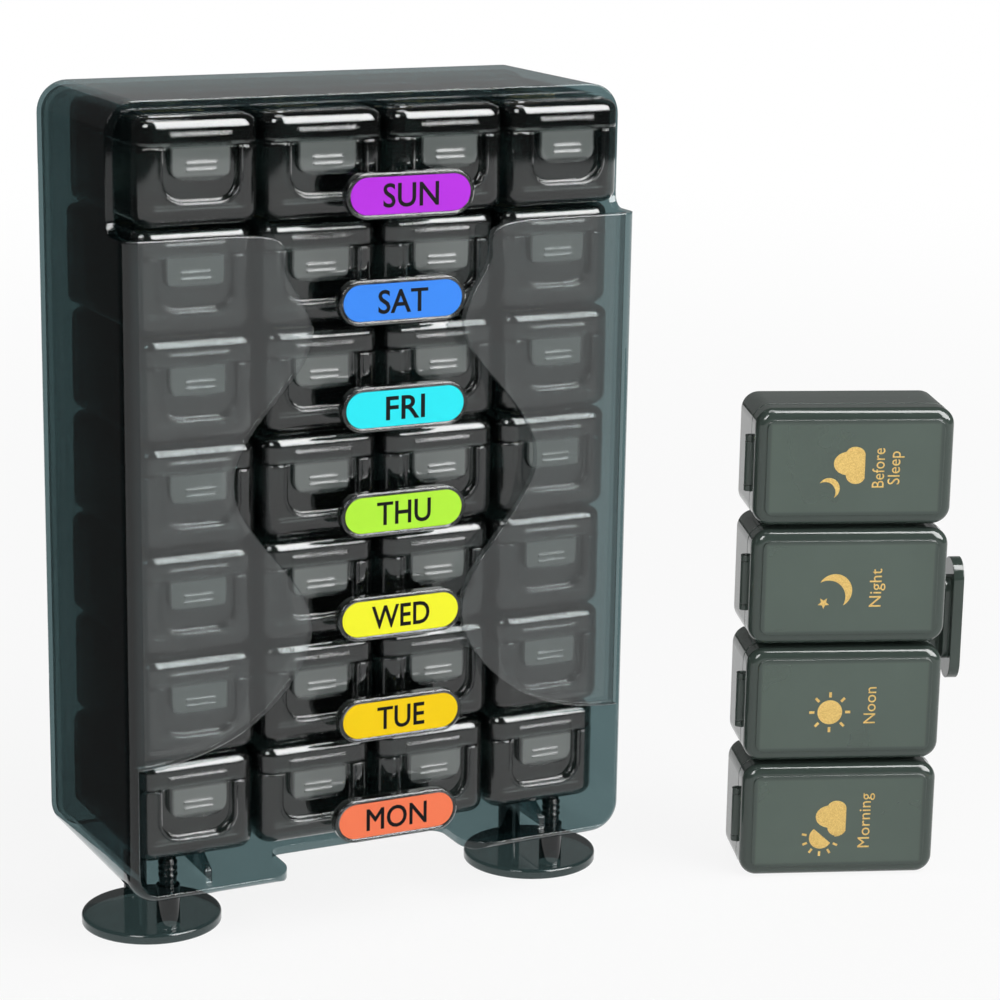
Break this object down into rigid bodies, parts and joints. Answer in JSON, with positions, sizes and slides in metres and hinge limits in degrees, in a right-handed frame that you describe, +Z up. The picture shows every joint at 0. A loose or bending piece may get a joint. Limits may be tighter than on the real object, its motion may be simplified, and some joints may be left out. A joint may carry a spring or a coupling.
{
  "type": "weekly pill box tower",
  "caption": "Smoked open-front tower on round feet holding stacked day boxes of lidded pill compartments with coloured name plates, and one more box beside it.",
  "frame": {"origin": "under the middle of the whole set, on the surface that it stands on", "axes": "+Z up, +X to the right as seen from the open front, +Y to the back"},
  "size_m": [0.252, 0.099, 0.2247],
  "materials": {
    "case_smoke": "clear smoked",
    "panel_smoke": "clear smoked",
    "foot_smoke": "clear smoked",
    "box_smoke": "clear smoked",
    "lid_smoke": "clear smoked",
    "label_violet": "printed card",
    "label_blue": "printed card",
    "label_cyan": "printed card",
    "label_lime": "printed card",
    "label_yellow": "printed card",
    "label_amber": "printed card",
    "label_orange": "printed card",
    "label_dark": "printed card"
  },
  "bodies": {
    "tower": {"case_shell": "case_smoke", "back_panel": "panel_smoke", "foot_left": "foot_smoke", "foot_right": "foot_smoke", "sat_tray": "box_smoke", "sat_label": "label_blue", "sat_lid_morning": "lid_smoke", "sat_lid_noon": "lid_smoke", "sat_lid_night": "lid_smoke", "sat_lid_bedtime": "lid_smoke", "fri_tray": "box_smoke", "fri_label": "label_cyan", "fri_lid_morning": "lid_smoke", "fri_lid_noon": "lid_smoke", "fri_lid_night": "lid_smoke", "fri_lid_bedtime": "lid_smoke", "thu_tray": "box_smoke", "thu_label": "label_lime", "thu_lid_morning": "lid_smoke", "thu_lid_noon": "lid_smoke", "thu_lid_night": "lid_smoke", "thu_lid_bedtime": "lid_smoke", "wed_tray": "box_smoke", "wed_label": "label_yellow", "wed_lid_morning": "lid_smoke", "wed_lid_noon": "lid_smoke", "wed_lid_night": "lid_smoke", "wed_lid_bedtime": "lid_smoke", "tue_tray": "box_smoke", "tue_label": "label_amber", "tue_lid_morning": "lid_smoke", "tue_lid_noon": "lid_smoke", "tue_lid_night": "lid_smoke", "tue_lid_bedtime": "lid_smoke"},
    "sun_box": {"sun_tray": "box_smoke", "sun_label": "label_violet", "sun_lid_morning": "lid_smoke", "sun_lid_noon": "lid_smoke", "sun_lid_night": "lid_smoke", "sun_lid_bedtime": "lid_smoke"},
    "mon_box": {"mon_tray": "box_smoke", "mon_label": "label_orange", "mon_lid_morning": "lid_smoke", "mon_lid_noon": "lid_smoke", "mon_lid_night": "lid_smoke", "mon_lid_bedtime": "lid_smoke"},
    "spare_box": {"spare_tray": "box_smoke", "spare_label": "label_dark"},
    "spare_lid_morning": {"spare_lid_morning": "lid_smoke"},
    "spare_lid_noon": {"spare_lid_noon": "lid_smoke"},
    "spare_lid_night": {"spare_lid_night": "lid_smoke"},
    "spare_lid_bedtime": {"spare_lid_bedtime": "lid_smoke"}
  },
  "joints": [
    {"name": "sun_slide", "type": "slide", "parent": "tower", "child": "sun_box", "axis": [0, -1, 0], "range_m": [-0.0043, 0.06]},
    {"name": "mon_slide", "type": "slide", "parent": "tower", "child": "mon_box", "axis": [0, -1, 0], "range_m": [0, 0.063]},
    {"name": "spare_lift", "type": "slide", "parent": "tower", "child": "spare_box", "axis": [0, 0, 1], "range_m": [0, 0.15]},
    {"name": "spare_morning_hinge", "type": "hinge", "parent": "spare_box", "child": "spare_lid_morning", "pos_m": [0.0583, -0.02333, 0.0167], "axis": [0, 0, -1], "range_deg": [0, 100]},
    {"name": "spare_noon_hinge", "type": "hinge", "parent": "spare_box", "child": "spare_lid_noon", "pos_m": [0.0583, -0.02333, 0.0512], "axis": [0, 0, -1], "range_deg": [0, 100]},
    {"name": "spare_night_hinge", "type": "hinge", "parent": "spare_box", "child": "spare_lid_night", "pos_m": [0.0583, -0.02333, 0.0857], "axis": [0, 0, -1], "range_deg": [0, 100]},
    {"name": "spare_bedtime_hinge", "type": "hinge", "parent": "spare_box", "child": "spare_lid_bedtime", "pos_m": [0.0583, -0.02333, 0.1202], "axis": [0, 0, -1], "range_deg": [0, 100]}
  ]
}
